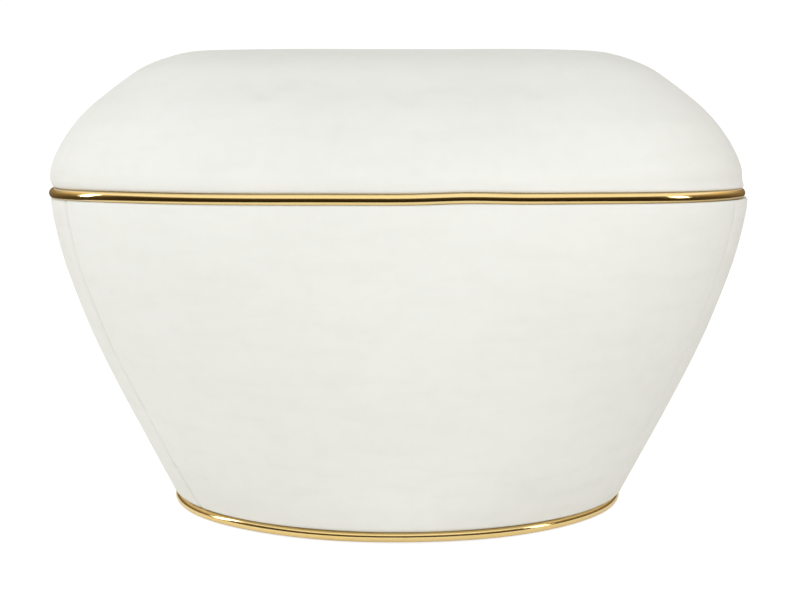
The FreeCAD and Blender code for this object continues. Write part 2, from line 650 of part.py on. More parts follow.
def make_seat_filling():
    """Firm foam on the board, soft foam on top, and wadding over both."""
    floor = f"{SEAT_BOARD_TOP} + Sizes.fit_gap"
    under = f"{PAST_LEATHER} + Sizes.wadding"
    wadding = new_body("seat_wadding")
    loft(wadding, seat_levels(wadding, "wadding_outer", PAST_LEATHER, floor,
                              f"Sizes.z_crown - ({PAST_LEATHER})", "Sizes.ease"))
    hollow_loft(wadding, seat_levels(wadding, "wadding_inner", under, floor,
                                     f"Sizes.z_crown - ({under})", "Sizes.ease"))
    keep(wadding, "seat_wadding")
    past = f"{under} + Sizes.fit_gap"
    foam = new_body("seat_foam")
    loft(foam, seat_levels(foam, "seat_foam", past, floor, f"Sizes.z_crown - ({past})",
                           "Sizes.ease"))
    split = number("Sizes.firm_foam_top")
    slabs = (("seat_foam_firm", 0, split),
             ("seat_foam_soft", split + number("Sizes.fit_gap"), number("Sizes.z_crown")))
    width = 2 * number("Sizes.half_rim")
    for label, low, high in slabs:
        block = doc.addObject("Part::Box", f"{label}_block")
        block.Length = width
        block.Width = width
        block.Height = high - low
        block.Placement = Placement(Vector(-width / 2, -width / 2, low), Rotation())
        keep(boolean("Part::Common", foam, block, label), label)


def make_seat_cover():
    """Leather cover whose skirt goes down inside the brass ring and under the seat board."""
    body = new_body("seat_cover")
    loft(body, seat_levels(body, "seat_outer", "0", "Sizes.z_foot", "Sizes.z_crown"))
    skirt_low = "Sizes.z_seat_board - Sizes.leather"
    pad(body, rim_outline(body, "skirt_outer", "Sizes.skirt_half", skirt_low),
        f"Sizes.z_foot - ({skirt_low})")
    inner_low = "Sizes.z_foot + Sizes.leather"
    hollow_loft(body, seat_levels(body, "seat_inner", "Sizes.leather", inner_low,
                                  "Sizes.z_crown - Sizes.leather"))
    skirt_inner = rim_outline(body, "skirt_inner", "(Sizes.skirt_half - Sizes.leather)",
                              "Sizes.z_seat_board")
    pocket(body, skirt_inner, f"{inner_low} - Sizes.z_seat_board")
    pocket(body, rim_outline(body, "seat_mouth", "Sizes.seat_hem_end", skirt_low),
           "Sizes.leather")
    staple_slots(body, "seat", skirt_low, "Sizes.leather")
    keep(body, "seat_cover")


# ---------------------------------------------------------------- build, check, export
def check(document):
    """Stop if any object failed or any sub-part has no valid shape."""
    for item in document.Objects:
        if {"Invalid", "Error"} & set(item.State):
            raise RuntimeError(f"{item.Label} failed: {item.State}")
    for part in nodes:
        if part.Shape.isNull() or not part.Shape.isValid():
            raise RuntimeError(f"{part.Label} has no valid shape")


def main():
    make_glides()
    make_plinth()
    make_base_screws()
    make_base_ring()
    make_access_disc()
    make_base_board()
    for index, place in enumerate(SIDES):
        make_rib("side", f"rib_{place}", 90 * index)
    for index, place in enumerate(CORNERS):
        make_rib("corner", f"rib_{place}", 45 + 90 * index)
    make_top_hoop()
    make_layer("skin", TO_SKIN, PAST_SKIN)
    make_layer("foam", PAST_LEATHER, PAST_FOAM)
    make_covers()
    make_mid_ring()
    make_tab_screws()
    make_seat_board()
    make_seat_fixings()
    make_seat_filling()
    make_seat_cover()
    make_staples("base", "Sizes.z_hem", 1)
    make_staples("rim", "Sizes.z_rim", -1)
    make_staples("seat", "(Sizes.z_seat_board - Sizes.leather)", 1)
    doc.recompute()
    check(doc)
    os.makedirs("parts", exist_ok=True)
    for part in nodes:
        part.Shape.exportStep(f"parts/{part.Label}.step")


main()
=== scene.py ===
"""Looks of the upholstered pouf: nubuck covers, brass rings, and the plain pieces inside.

Metres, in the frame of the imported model. +Z is up and the front faces -Y. The covers and the
fillings share two profiles, one of the body and one of the seat, swept round a squared outline.
"""
import json
import math

import bpy
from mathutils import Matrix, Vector, noise


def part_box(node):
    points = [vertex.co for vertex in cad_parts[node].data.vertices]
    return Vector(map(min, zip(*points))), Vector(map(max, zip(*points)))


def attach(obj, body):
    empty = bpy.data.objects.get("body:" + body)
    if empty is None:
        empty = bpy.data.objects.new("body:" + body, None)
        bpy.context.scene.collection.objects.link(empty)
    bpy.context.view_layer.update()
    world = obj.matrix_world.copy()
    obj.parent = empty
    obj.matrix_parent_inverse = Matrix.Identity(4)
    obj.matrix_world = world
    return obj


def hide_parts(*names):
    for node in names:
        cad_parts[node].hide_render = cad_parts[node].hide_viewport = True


MM = 0.001
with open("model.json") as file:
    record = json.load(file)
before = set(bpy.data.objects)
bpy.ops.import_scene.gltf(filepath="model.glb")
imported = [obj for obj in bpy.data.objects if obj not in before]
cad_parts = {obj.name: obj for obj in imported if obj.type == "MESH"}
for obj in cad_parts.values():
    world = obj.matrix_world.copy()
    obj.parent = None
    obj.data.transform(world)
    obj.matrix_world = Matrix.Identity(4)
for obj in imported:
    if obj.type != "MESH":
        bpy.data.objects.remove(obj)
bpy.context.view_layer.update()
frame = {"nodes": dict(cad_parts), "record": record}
nodes = frame["nodes"]

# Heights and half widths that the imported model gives.
HEM_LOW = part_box("cover_front")[0].z
RIM_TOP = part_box("cover_front")[1].z
RING_LOW, RING_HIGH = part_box("mid_ring")
BASE_LOW, BASE_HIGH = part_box("base_ring")
TUBE = (RING_HIGH.z - RING_LOW.z) / 2
MID_RING_RUN = RING_HIGH.x - TUBE
BASE_RING_RUN = BASE_HIGH.x - TUBE
RING_MIDDLE = (RING_LOW.z + RING_HIGH.z) / 2
LEATHER = 2.0 * MM
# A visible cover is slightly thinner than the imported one, so it stays clear of the foam.
COVER_SKIN = LEATHER * 0.9
# Squareness of the outline at the upper ring, and where it is a plain circle.
RIM_SQUARE = 3.07
ROUND = 2.0

# The seams of the body stand this far round from the front and back middles.
SEAM_TOP = math.radians(53.3)
SEAM_LOW = math.radians(57.5)
# The lower cover sits slightly to the right, and the ring and cushion slightly to the left.
BODY_DRIFT = 0.7 * MM
SEAT_DRIFT = -2.5 * MM
RING_DRIFT = -1.2 * MM
# The hump of the ring, right of the front middle, and a small dimple in the front panel.
HUMP_X = 57 * MM
HUMP_REACH = 36 * MM
DIMPLE_X = -31 * MM
DIMPLE_Z = 205 * MM
DIMPLE_REACH = 7 * MM
# How far from the ring the leather follows it, and how wide a sewn edge is rolled in.
RING_REACH = 22 * MM
SEAM_REACH = 2.2 * MM


# ---------------------------------------------------------------- curves and outlines
def smooth(points, where):
    """Catmull-Rom curve through rows of numbers, at a place from 0 to len(points) - 1."""
    last = len(points) - 1
    index = min(int(where), last - 1)
    t = where - index
    before = points[max(index - 1, 0)]
    after = points[min(index + 2, last)]
    rows = zip(before, points[index], points[index + 1], after)
    return [b + 0.5 * t * (c - a + t * (2 * a - 5 * b + 4 * c - d + t * (3 * (b - c) + d - a)))
            for a, b, c, d in rows]


def resample(points, spacing, fine=()):
    """Even steps along the curve; closer ones where the height is within a fine band."""
    dense = [smooth(points, i / 24) for i in range(24 * (len(points) - 1) + 1)]
    travel = [0.0]
    for a, b in zip(dense, dense[1:]):
        density = 1.0
        for low, high, factor in fine:
            if low <= (a[1] + b[1]) / 2 <= high:
                density = factor
        travel.append(travel[-1] + math.hypot(b[0] - a[0], b[1] - a[1]) * density)
    count = max(2, round(travel[-1] / spacing))
    steps = []
    index = 0
    for step in range(count + 1):
        goal = travel[-1] * step / count
        while index < len(travel) - 2 and travel[index + 1] < goal:
            index += 1
        t = (goal - travel[index]) / max(travel[index + 1] - travel[index], 1e-9)
        t = min(max(t, 0.0), 1.0)
        steps.append([p + (q - p) * t for p, q in zip(dense[index], dense[index + 1])])
    return steps


def squared(angle, square):
    """Distance to a squared outline of half width 1. Square 2 is a circle."""
    return (abs(math.cos(angle)) ** square + abs(math.sin(angle)) ** square) ** (-1 / square)


def on_outline(angle, half, height, square):
    reach = half * squared(angle, square)
    return Vector((reach * math.cos(angle), reach * math.sin(angle), height))


# Profiles run along each cover: half width in mm, height in mm, squareness.
BODY_SIDE = [
    (236.2, 12.3, ROUND), (239.2, 12.8, ROUND), (241.6, 14.8, ROUND), (244.4, 19.5, ROUND),
    (264.0, 62.0, 2.2), (292.0, 122.0, 2.37), (317.0, 182.0, 2.58), (334.0, 232.0, 2.75),
    (345.0, 272.0, 2.9), (351.0, 304.0, 3.0), (352.8, 319.0, 3.05),
    (353.3, 327.5, RIM_SQUARE), (353.4, 330.4, RIM_SQUARE), (352.6, 331.8, RIM_SQUARE),
    (350.5, 331.5, RIM_SQUARE), (347.0, 331.1, RIM_SQUARE), (344.0, 331.0, RIM_SQUARE),
]
BASE_HEM = [(195.0, 12.5, ROUND), (231.0, 12.4, ROUND)]
RIM_HEM = [(330.0, 331.0, RIM_SQUARE), (294.0, 331.0, RIM_SQUARE)]
SEAT_SIDE = [
    (0.0, 475.2, 2.8), (90.0, 474.7, 3.4), (165.0, 473.4, 4.4), (210.0, 471.1, 4.95),
    (233.0, 467.6, 5.0), (259.0, 456.4, 4.7), (286.0, 435.9, 4.3), (315.2, 410.0, 3.9),
    (336.2, 385.0, 3.5), (349.8, 362.0, 3.2), (351.8, 352.0, 3.1),
    (351.9, 346.0, RIM_SQUARE), (352.0, 343.2, RIM_SQUARE), (351.5, 341.8, RIM_SQUARE),
    (350.2, 341.55, RIM_SQUARE), (348.6, 341.3, RIM_SQUARE), (346.4, 340.2, RIM_SQUARE),
    (345.0, 338.4, RIM_SQUARE), (344.2, 336.0, RIM_SQUARE), (343.0, 333.4, RIM_SQUARE),
    (338.0, 332.4, RIM_SQUARE), (302.0, 332.4, RIM_SQUARE),
]


def mid_wave(angle):
    """Rise and push of the ring: it droops at the sides, with a short hump right of the front."""
    rise = 0.3 * math.sin(5 * angle + 0.6) + 0.15 * math.sin(11 * angle + 2.0)
    rise -= 0.5 + 1.7 * abs(math.cos(angle)) ** 3
    across = MID_RING_RUN * math.cos(angle)
    if math.sin(angle) < 0:
        rise += 1.3 * math.exp(-((across - HUMP_X) / HUMP_REACH) ** 2)
    push = 0.3 * math.sin(7 * angle + 1.1) - 2.0 * abs(math.cos(angle)) ** 3
    return rise * MM, push * MM


def beside_ring(point, angle):
    """Leather near the ring lifts and falls with it."""
    from_ring = (point.z - RING_MIDDLE) / RING_REACH
    rise, _ = mid_wave(angle)
    return Vector((0, 0, rise * math.exp(-from_ring ** 2)))


# ---------------------------------------------------------------- mesh helpers
def new_object(name, points, faces, smooth_shaded=True):
    mesh = bpy.data.meshes.new(name)
    mesh.from_pydata([tuple(p) for p in points], [], faces)
    mesh.update()
    obj = bpy.data.objects.new(name, mesh)
    bpy.context.scene.collection.objects.link(obj)
    if smooth_shaded:
        for face in mesh.polygons:
            face.use_smooth = True
    return obj


def grid_faces(rows, columns, wrap=False):
    """Quads over rows of points; wrap joins the last column to the first."""
    faces = []
    for r in range(rows - 1):
        for c in range(columns if wrap else columns - 1):
            d = (c + 1) % columns
            faces.append((r * columns + c, r * columns + d,
                          (r + 1) * columns + d, (r + 1) * columns + c))
    return faces


def thicken(obj, thickness):
    """Give a skin its thickness, inwards."""
    solid = obj.modifiers.new("thickness", "SOLIDIFY")
    solid.thickness = thickness
    solid.offset = -1
    solid.use_even_offset = False
    apply_modifiers(obj)


def apply_modifiers(obj):
    """Bake the object's modifiers into its mesh."""
    graph = bpy.context.evaluated_depsgraph_get()
    baked = bpy.data.meshes.new_from_object(obj.evaluated_get(graph))
    obj.modifiers.clear()
    old = obj.data
    obj.data = baked
    bpy.data.meshes.remove(old)


def lumps(point, size, seed):
    """Smooth noise from -1 to 1 whose lumps are about that size across."""
    return noise.noise(point / size + Vector((seed, 3.1 * seed, 7.7 * seed)))


def finish_piece(obj, material, slot, *replaced):
    obj.data.materials.clear()
    obj.data.materials.append(material)
    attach(obj, "root")
    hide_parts(*replaced)


# ---------------------------------------------------------------- materials
class Shader:
    """A principled material under construction, with short names for its common nodes."""

    def __init__(self, name, roughness, metallic=0.0):
        self.material = bpy.data.materials.new(name)
        self.material.use_nodes = True
        self.tree = self.material.node_tree
        self.surface = self.tree.nodes["Principled BSDF"]
        self.surface.inputs["Roughness"].default_value = roughness
        self.surface.inputs["Metallic"].default_value = metallic
        self.place = self.add("ShaderNodeTexCoord").outputs["Object"]

    def add(self, kind, **settings):
        node = self.tree.nodes.new(kind)
        for key, value in settings.items():
            setattr(node, key, value)
        return node

    def link(self, source, target):
        self.tree.links.new(source, target)

    def noise(self, scale, detail=2.0, stretch=(1, 1, 1)):
        """Noise in metres of object space: scale is lumps per metre."""
        mapping = self.add("ShaderNodeMapping")
        mapping.inputs["Scale"].default_value = stretch
        texture = self.add("ShaderNodeTexNoise")
        texture.inputs["Scale"].default_value = scale
        texture.inputs["Detail"].default_value = detail
        self.link(self.place, mapping.inputs["Vector"])
        self.link(mapping.outputs["Vector"], texture.inputs["Vector"])
        return texture.outputs["Fac"]

    def ramp(self, factor, stops):
        """Colour ramp; stops are (position, colour) pairs."""
        node = self.add("ShaderNodeValToRGB")
        ramp = node.color_ramp
        while len(ramp.elements) < len(stops):
            ramp.elements.new(0.5)
        for element, (position, colour) in zip(ramp.elements, stops):
            element.position = position
            element.color = (*colour, 1)
        self.link(factor, node.inputs["Fac"])
        return node.outputs["Color"]

    def multiply(self, first, second, factor=1.0):
        node = self.add("ShaderNodeMix", data_type="RGBA", blend_type="MULTIPLY")
        node.inputs["Factor"].default_value = factor
        self.link(first, node.inputs["A"])
        self.link(second, node.inputs["B"])
        return node.outputs["Result"]

    def rough(self, factor, low, high):
        node = self.add("ShaderNodeMapRange")
        node.inputs["To Min"].default_value = low
        node.inputs["To Max"].default_value = high
        self.link(factor, node.inputs["Value"])
        self.link(node.outputs["Result"], self.surface.inputs["Roughness"])

    def colour(self, source):
        self.link(source, self.surface.inputs["Base Color"])

    def bump(self, height, depth, strength=1.0):
        """Raise the surface by up to depth metres; calls stack."""
        node = self.add("ShaderNodeBump")
        node.inputs["Strength"].default_value = strength
        node.inputs["Distance"].default_value = depth
        self.link(height, node.inputs["Height"])
        normal = self.surface.inputs["Normal"]
        if normal.is_linked:
            self.link(normal.links[0].from_socket, node.inputs["Normal"])
        self.link(node.outputs["Normal"], normal)


def shade(colour, factor):
    return tuple(c * factor for c in colour)


def make_nubuck():
    """Ivory nubuck: fine nap, cloudy tone, and faint level marks where it was brushed."""
    shader = Shader("ivory_nubuck", 0.82)
    ivory = (0.874, 0.880, 0.845)
    cloud = shader.ramp(shader.noise(6.5, 4.0), [
        (0.30, shade(ivory, 0.983)), (0.50, ivory), (0.70, (0.885, 0.892, 0.860))])
    brushed = shader.ramp(shader.noise(15.0, 5.0, (1.0, 1.0, 5.0)), [
        (0.36, (0.985, 0.986, 0.983)), (0.52, (1, 1, 1)), (0.72, (1, 0.998, 0.994))])
    mottled = shader.ramp(shader.noise(58.0, 3.0), [
        (0.34, (0.988, 0.987, 0.984)), (0.56, (1, 1, 1))])
    shader.colour(shader.multiply(shader.multiply(cloud, brushed), mottled))
    shader.rough(shader.noise(30.0, 3.0), 0.74, 0.9)
    shader.surface.inputs["Specular IOR Level"].default_value = 0.22
    shader.surface.inputs["Sheen Weight"].default_value = 0.12
    shader.surface.inputs["Sheen Roughness"].default_value = 0.45
    shader.surface.inputs["Sheen Tint"].default_value = (1.0, 0.98, 0.94, 1)
    shader.bump(shader.noise(1500.0, 2.0), 0.00012, 0.5)
    shader.bump(shader.noise(210.0, 3.0, (1.0, 1.0, 2.2)), 0.0003, 0.35)
    return shader.material


def make_brass():
    """Polished brass with a slight hand-rubbed unevenness."""
    shader = Shader("polished_brass", 0.12, metallic=1.0)
    tone = shader.ramp(shader.noise(9.0, 3.0), [
        (0.3, (0.93, 0.70, 0.30)), (0.7, (0.96, 0.745, 0.36))])
    shader.colour(tone)
    shader.rough(shader.noise(120.0, 4.0), 0.08, 0.17)
    shader.bump(shader.noise(45.0, 2.0), 0.0002, 0.25)
    shader.bump(shader.noise(900.0, 2.0, (1.0, 1.0, 0.4)), 0.00002, 0.3)
    return shader.material


def make_wood(name, light, dark, roughness, layer=1.5 * MM):
    """Plywood or board: grain along X and thin level laminations."""
    shader = Shader(name, roughness)
    grain = shader.ramp(shader.noise(60.0, 6.0, (0.08, 1.0, 1.0)), [
        (0.32, dark), (0.62, light)])
    plies = shader.add("ShaderNodeTexWave", bands_direction="Z")
    plies.inputs["Scale"].default_value = 0.31 / layer
    plies.inputs["Distortion"].default_value = 0.4
    shader.link(shader.place, plies.inputs["Vector"])
    bands = shader.ramp(plies.outputs["Fac"], [(0.35, (0.80, 0.76, 0.72)), (0.65, (1, 1, 1))])
    shader.colour(shader.multiply(grain, bands, 0.45))
    shader.rough(shader.noise(200.0, 3.0), roughness - 0.08, roughness + 0.08)
    shader.bump(shader.noise(240.0, 4.0, (0.1, 1.0, 1.0)), 0.0002, 0.4)
    return shader.material


def make_foam(name, light, dark, pore):
    """Open cells or loose fibre, in lumps per metre, with painted shade darkening each cell's
    hollow.
    """
    shader = Shader(name, 0.95)
    cells = shader.add("ShaderNodeTexVoronoi")
    cells.inputs["Scale"].default_value = pore
    shader.link(shader.place, cells.inputs["Vector"])
    # Cell centres painted darker: painted shade in the pores, where the bump also sinks.
    shader.colour(shader.ramp(cells.outputs["Distance"], [(0.05, dark), (0.45, light)]))
    shader.rough(shader.noise(90.0, 2.0), 0.88, 0.98)
    shader.bump(cells.outputs["Distance"], 0.0006, 0.5)
    return shader.material


def make_steel():
    """Bright zinc plate with a faint spangle."""
    shader = Shader("zinc_plate", 0.3, metallic=1.0)
    shader.colour(shader.ramp(shader.noise(300.0, 3.0), [
        (0.3, (0.60, 0.62, 0.65)), (0.7, (0.78, 0.79, 0.80))]))
    shader.rough(shader.noise(500.0, 3.0), 0.24, 0.4)
    shader.bump(shader.noise(800.0, 2.0), 0.00003, 0.4)
    return shader.material


def make_nylon():
    """Moulded black nylon with a fine satin grain."""
    shader = Shader("black_nylon", 0.45)
    shader.colour(shader.ramp(shader.noise(160.0, 3.0), [
        (0.3, (0.018, 0.018, 0.019)), (0.7, (0.035, 0.035, 0.037))]))
    shader.rough(shader.noise(700.0, 2.0), 0.38, 0.55)
    shader.bump(shader.noise(2200.0, 2.0), 0.00005, 0.4)
    return shader.material


MATERIALS = {
    "ivory_leather": make_nubuck(),
    "polished_brass": make_brass(),
    "plywood": make_wood("birch_plywood", (0.66, 0.47, 0.28), (0.50, 0.33, 0.17), 0.62),
    "bending_plywood": make_wood("bending_plywood", (0.60, 0.43, 0.26), (0.42, 0.28, 0.15),
                                 0.66, 0.9 * MM),
    "stained_plinth": make_wood("stained_plinth", (0.014, 0.013, 0.012),
                                (0.006, 0.006, 0.006), 0.5),
    "hardboard": make_wood("hardboard", (0.17, 0.095, 0.05), (0.10, 0.055, 0.03), 0.55),
    "foam": make_foam("cream_foam", (0.86, 0.79, 0.58), (0.55, 0.47, 0.30), 620.0),
    "wadding": make_foam("white_wadding", (0.90, 0.90, 0.88), (0.70, 0.70, 0.69), 240.0),
    "felt": make_foam("grey_felt", (0.16, 0.16, 0.165), (0.07, 0.07, 0.075), 900.0),
    "nylon": make_nylon(),
    "zinc_steel": make_steel(),
}


# ---------------------------------------------------------------- body: covers and side foam
def seam_angle(height):
    """Angle of a seam round from the front middle; it leans outwards on its way down."""
    rise = (height - HEM_LOW) / (RIM_TOP - HEM_LOW)
    return SEAM_LOW + (SEAM_TOP - SEAM_LOW) * rise


def seam_depth(angle):
    """The seams are pulled in by different amounts; the front right one hardly shows."""
    return 1.0 - 1.1 * math.cos(angle) * max(-math.sin(angle), 0.0) ** 0.5


def body_point(angle, half, height, square, inset):
    """Point of the body's surface, with the slight hollows and swells of hand-laid foam."""
    point = on_outline(angle, half - inset, height, square)
    rise = min(max((height - HEM_LOW) / (RIM_TOP - HEM_LOW), 0.0), 1.0)
    belly = math.sin(math.pi * rise)
    outward = Vector((point.x, point.y, 0)).normalized()
    uneven = 0.9 * lumps(point, 0.17, 2.3) + 0.28 * lumps(point, 0.05, 5.1)
    gather = 0.35 * lumps(Vector((angle * 18, 0, height * 9)), 1.0, 8.2) * rise ** 6
    if math.sin(angle) < 0:
        dimple = Vector((point.x - DIMPLE_X, point.z - DIMPLE_Z)).length / DIMPLE_REACH
        uneven -= 0.7 * math.exp(-dimple ** 2)
    point += outward * (uneven * belly + gather) * MM
    point += beside_ring(point, angle)
    point.x += BODY_DRIFT
    return point


def side_panel(name, middle, profile, inset, edge_drop):
    """One panel of the body between two seams; its edges turn in where they are sewn."""
    columns = 129
    crowding = 1.25
    points = []
    for half, height, square in profile:
        height *= MM
        spread = seam_angle(height)
        if middle % 180 == 0:
            spread = math.pi / 2 - spread
        for column in range(columns):
            across = 2 * column / (columns - 1) - 1
            across = math.copysign(1 - (1 - abs(across)) ** crowding, across)
            angle = math.radians(middle) + across * spread
            to_seam = (1 - abs(across)) * spread * half * MM
            roll = edge_drop * seam_depth(angle) * math.exp(-(to_seam / SEAM_REACH) ** 2)
            points.append(body_point(angle, half * MM, height, square, inset + roll))
    return new_object(name, points, grid_faces(len(profile), columns))


SIDES = {"front": 270, "right": 0, "back": 90, "left": 180}


def make_covers():
    """Four leather panels, sewn at the corners, with a hem under the base and one on the rim."""
    fine = ((0, 18, 3.0), (319, 340, 3.0))
    profile = resample([*BASE_HEM, *BODY_SIDE, *RIM_HEM], 5.0, fine)
    for side, middle in SIDES.items():
        panel = side_panel(f"nubuck_{side}", middle, profile, inset=0.0, edge_drop=LEATHER)
        thicken(panel, COVER_SKIN)
        finish_piece(panel, MATERIALS["ivory_leather"], "ivory_leather", f"cover_{side}")


def make_side_foam():
    """Foam slabs behind the leather, from just above the base hem to just below the rim."""
    gap = 0.9 * MM
    slab_thickness = 14.0 * MM
    profile = resample([row for row in BODY_SIDE if 40 < row[1] < 318], 18.0)
    low = smooth(BODY_SIDE, 2.1)
    profile = [(low[0], 16.5, low[2]), *profile, (351.0, 327.0, 3.05)]
    for side, middle in SIDES.items():
        slab = side_panel(f"side_foam_{side}", middle, profile, inset=LEATHER + gap, edge_drop=0.0)
        thicken(slab, slab_thickness)
        finish_piece(slab, MATERIALS["foam"], "foam", f"foam_{side}")


# ---------------------------------------------------------------- seat
def seat_grid(rings, inset):
    """Square grid of points wrapped over the seat, from its crown to the end of its profile."""
    size = 2 * rings + 1
    points = []
    profile = resample(SEAT_SIDE, 1.0, ((332, 352, 2.6),))
    for row in range(size):
        for column in range(size):
            u, v = column / rings - 1, row / rings - 1
            reach = max(abs(u), abs(v))
            place = reach * (len(profile) - 1)
            index = min(int(place), len(profile) - 2)
            t = place - index
            half, height, square = (
                a + (b - a) * t for a, b in zip(profile[index], profile[index + 1]))
            angle = math.atan2(v, u)
            points.append(on_outline(angle, max(half - inset, 0) * MM, height * MM, square))
    return points, grid_faces(size, size)


def swell(obj, pressure, limit, held, frames=20):
    """Inflate a cover with a short cloth simulation and bake the result into its mesh."""
    rest = [vertex.co.copy() for vertex in obj.data.vertices]
    pins = obj.vertex_groups.new(name="held")
    for vertex in obj.data.vertices:
        pins.add([vertex.index], held(vertex.co), "REPLACE")
    cloth = obj.modifiers.new("cloth", "CLOTH")
    settings = cloth.settings
    settings.vertex_group_mass = "held"
    settings.use_pressure = True
    settings.uniform_pressure_force = pressure
    settings.effector_weights.gravity = 0
    settings.quality = 6
    settings.tension_stiffness = 25
    settings.compression_stiffness = 25
    settings.bending_stiffness = 6
    cloth.collision_settings.use_collision = False
    cloth.collision_settings.use_self_collision = False
    scene = bpy.context.scene
    for frame_number in range(1, frames + 1):
        scene.frame_set(frame_number)
    graph = bpy.context.evaluated_depsgraph_get()
    blown = obj.evaluated_get(graph).data
    moved = [vertex.co.copy() for vertex in blown.vertices]
    obj.modifiers.clear()
    for vertex, start, end in zip(obj.data.vertices, rest, moved):
        travel = end - start
        if travel.length > limit:
            travel *= limit / travel.length
        vertex.co = start + travel
    scene.frame_set(1)


def make_seat_cover():
    """Domed leather cover, pulled down inside the brass ring and under the seat board."""
    points, faces = seat_grid(rings=72, inset=1.0)
    cover = new_object("nubuck_seat", points, faces)
    def held(point):
        return min(max(1 - (point.z / MM - 344) / 30, 0.0), 1.0)
    swell(cover, pressure=4.0, limit=1.6 * MM, held=held)
    for vertex in cover.data.vertices:
        point = vertex.co
        free = min(max((point.z / MM - 346) / 40, 0.0), 1.0)
        outward = Vector((point.x, point.y, (point.z - 0.36) * 3)).normalized()
        uneven = 1.0 * lumps(point, 0.16, 4.4) + 0.25 * lumps(point, 0.05, 6.3)
        follow = beside_ring(point, math.atan2(point.y, point.x))
        vertex.co = point + outward * uneven * free * MM + follow
        vertex.co.x += SEAT_DRIFT * min(max((point.z / MM - 341) / 6, 0.0), 1.0)
    divide = cover.modifiers.new("subdivide", "SUBSURF")
    divide.levels = 1
    apply_modifiers(cover)
    thicken(cover, COVER_SKIN)
    finish_piece(cover, MATERIALS["ivory_leather"], "ivory_leather", "seat_cover")


def inner_profile(inset, low, high):
    """The seat's profile moved in by an inset, between two heights, from the top down."""
    rows = resample([row for row in SEAT_SIDE if row[1] > 342], 9.0)
    moved = []
    for index, (half, height, square) in enumerate(rows):
        before, after = rows[max(index - 1, 0)], rows[min(index + 1, len(rows) - 1)]
        along = Vector((after[0] - before[0], after[1] - before[1])).normalized()
        moved.append((half + along.y * inset, height - along.x * inset, square))
    moved = [row for row in moved if row[0] > 1]
    kept = [row for row in moved if low < row[1] < high]
    for edge in (low, high):
        for upper, lower in zip(moved, moved[1:]):
            if lower[1] <= edge < upper[1]:
                t = (edge - lower[1]) / (upper[1] - lower[1])
                cut = tuple(p + (q - p) * t for p, q in zip(lower, upper))
                kept.append(cut)
    kept = sorted(kept, key=lambda row: (-row[1], row[0]))
    if kept[-1][1] > low:
        kept.append((kept[-1][0], low, kept[-1][2]))
    return kept


def seat_filling(name, slot, inset, low, high, skin=0.0):
    """Closed block of foam, or a skin of wadding, that follows the seat below its cover."""
    columns = 144
    points = []
    rows = inner_profile(inset, low, high)
    for half, height, square in reversed(rows):
        for column in range(columns):
            angle = math.tau * column / columns
            point = on_outline(angle, half * MM, height * MM, square)
            point.x += SEAT_DRIFT
            points.append(point)
    faces = grid_faces(len(rows), columns, wrap=True)
    faces.append(tuple(range(len(points) - columns, len(points))))
    if not skin:
        faces.append(tuple(reversed(range(columns))))
    filling = new_object(f"padding_{name}", points, faces, smooth_shaded=False)
    if skin:
        thicken(filling, skin)
    finish_piece(filling, MATERIALS[slot], slot, name)


def make_seat_filling():
    """Wadding over soft foam over firm foam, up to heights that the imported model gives."""
    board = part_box("seat_foam_firm")[0].z / MM
    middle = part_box("seat_foam_firm")[1].z / MM
    seat_filling("seat_wadding", "wadding", 3.2, board, 480.0, skin=5.0 * MM)
    seat_filling("seat_foam_soft", "foam", 9.0, middle + 0.3, 480.0)
    seat_filling("seat_foam_firm", "foam", 9.0, board, middle)


# ---------------------------------------------------------------- brass rings
def ring_tube(name, run, height, square, drift, wave):
    """Tube bent by hand round an outline; wave gives its rise and its push out at an angle."""
    along, around = 720, 20
    centres = []
    for step in range(along):
        angle = math.tau * step / along
        rise, push = wave(angle)
        centre = on_outline(angle, run + push, height + rise, square)
        centre.x += drift
        centres.append(centre)
    points = []
    for step, centre in enumerate(centres):
        heading = centres[(step + 1) % along] - centres[step - 1]
        side = heading.cross(Vector((0, 0, 1))).normalized()
        over = side.cross(heading).normalized()
        for turn in range(around):
            angle = math.tau * turn / around
            points.append(centre + TUBE * (side * math.cos(angle) + over * math.sin(angle)))
    faces = []
    for step in range(along):
        following = (step + 1) % along
        for turn in range(around):
            after = (turn + 1) % around
            faces.append((step * around + turn, following * around + turn,
                          following * around + after, step * around + after))
    return new_object(name, points, faces)


def base_wave(angle):
    rise = 0.15 * math.sin(3 * angle) + 0.12 * math.sin(8 * angle + 0.7)
    push = 0.35 * math.sin(4 * angle + 0.4) + 0.2 * math.sin(9 * angle)
    return rise * MM, push * MM


def make_rings():
    mid = ring_tube("brass_mid_ring", MID_RING_RUN, RING_MIDDLE, RIM_SQUARE,
                    RING_DRIFT, mid_wave)
    finish_piece(mid, MATERIALS["polished_brass"], "polished_brass", "mid_ring")
    base = ring_tube("brass_base_ring", BASE_RING_RUN, (BASE_LOW.z + BASE_HIGH.z) / 2, ROUND,
                     0.0, base_wave)
    finish_piece(base, MATERIALS["polished_brass"], "polished_brass", "base_ring")


# ---------------------------------------------------------------- studio
def stage_sheet(name, height, albedo, glow):
    """Level sheet of matt paper with a slight glow."""
    half = 30.0
    corners = [(-half, -half), (half, -half), (half, half), (-half, half)]
    sheet = new_object(name, [(x, y, height) for x, y in corners], [(0, 1, 2, 3)])
    material = bpy.data.materials.new(name)
    material.use_nodes = True
    surface = material.node_tree.nodes["Principled BSDF"]
    surface.inputs["Base Color"].default_value = (*albedo, 1)
    surface.inputs["Roughness"].default_value = 1.0
    surface.inputs["Specular IOR Level"].default_value = 0.0
    surface.inputs["Emission Color"].default_value = (1, 1, 1, 1)
    surface.inputs["Emission Strength"].default_value = glow
    sheet.data.materials.append(material)
    sheet.visible_shadow = False
    return sheet


